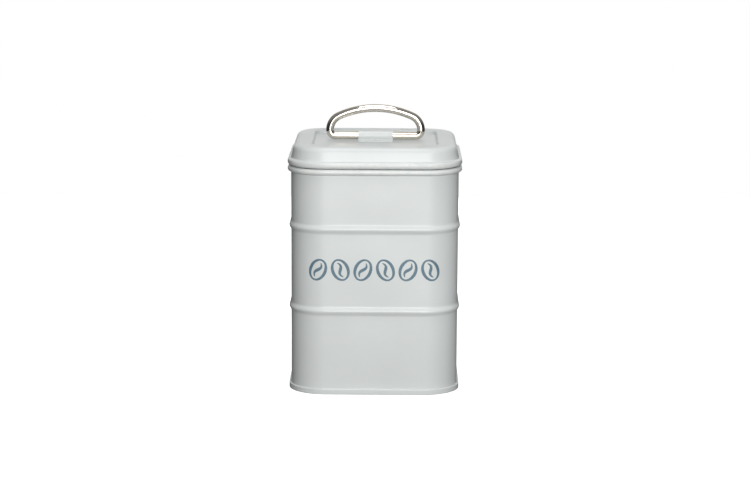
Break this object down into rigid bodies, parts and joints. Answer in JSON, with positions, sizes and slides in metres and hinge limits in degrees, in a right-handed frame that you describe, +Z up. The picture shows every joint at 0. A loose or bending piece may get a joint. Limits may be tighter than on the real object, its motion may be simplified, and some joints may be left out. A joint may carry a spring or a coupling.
{
  "type": "kitchen canister",
  "caption": "Square painted steel coffee canister with rounded corners, beaded sides, a plug lid with a seal and a folding bar handle.",
  "frame": {"origin": "middle of the base, on the surface the tin stands on", "axes": "+Z up through the lid, -Y out of the front, +X to the right seen from the front, along the handle's bar"},
  "size_m": [0.1092, 0.1092, 0.1772],
  "materials": {
    "shell_paint": "semi-gloss pale grey enamel",
    "tinplate": "clear-lacquered tinplate",
    "silicone": "translucent silicone",
    "chrome_plate": "bright chrome plate"
  },
  "bodies": {
    "tin": {"body_shell": "shell_paint", "bottom_end": "shell_paint"},
    "lid": {"lid_shell": "shell_paint", "lid_plug": "tinplate", "lid_seal": "silicone", "handle_saddle": "shell_paint"},
    "handle": {"handle_rod": "chrome_plate"}
  },
  "joints": [
    {"name": "lid_lift", "type": "slide", "parent": "tin", "child": "lid", "axis": [0, 0, 1], "range_m": [0, 0.06]},
    {"name": "handle_fold", "type": "hinge", "parent": "lid", "child": "handle", "pos_m": [0, 0, 0.15705], "axis": [1, 0, 0], "range_deg": [-93, 93]}
  ]
}
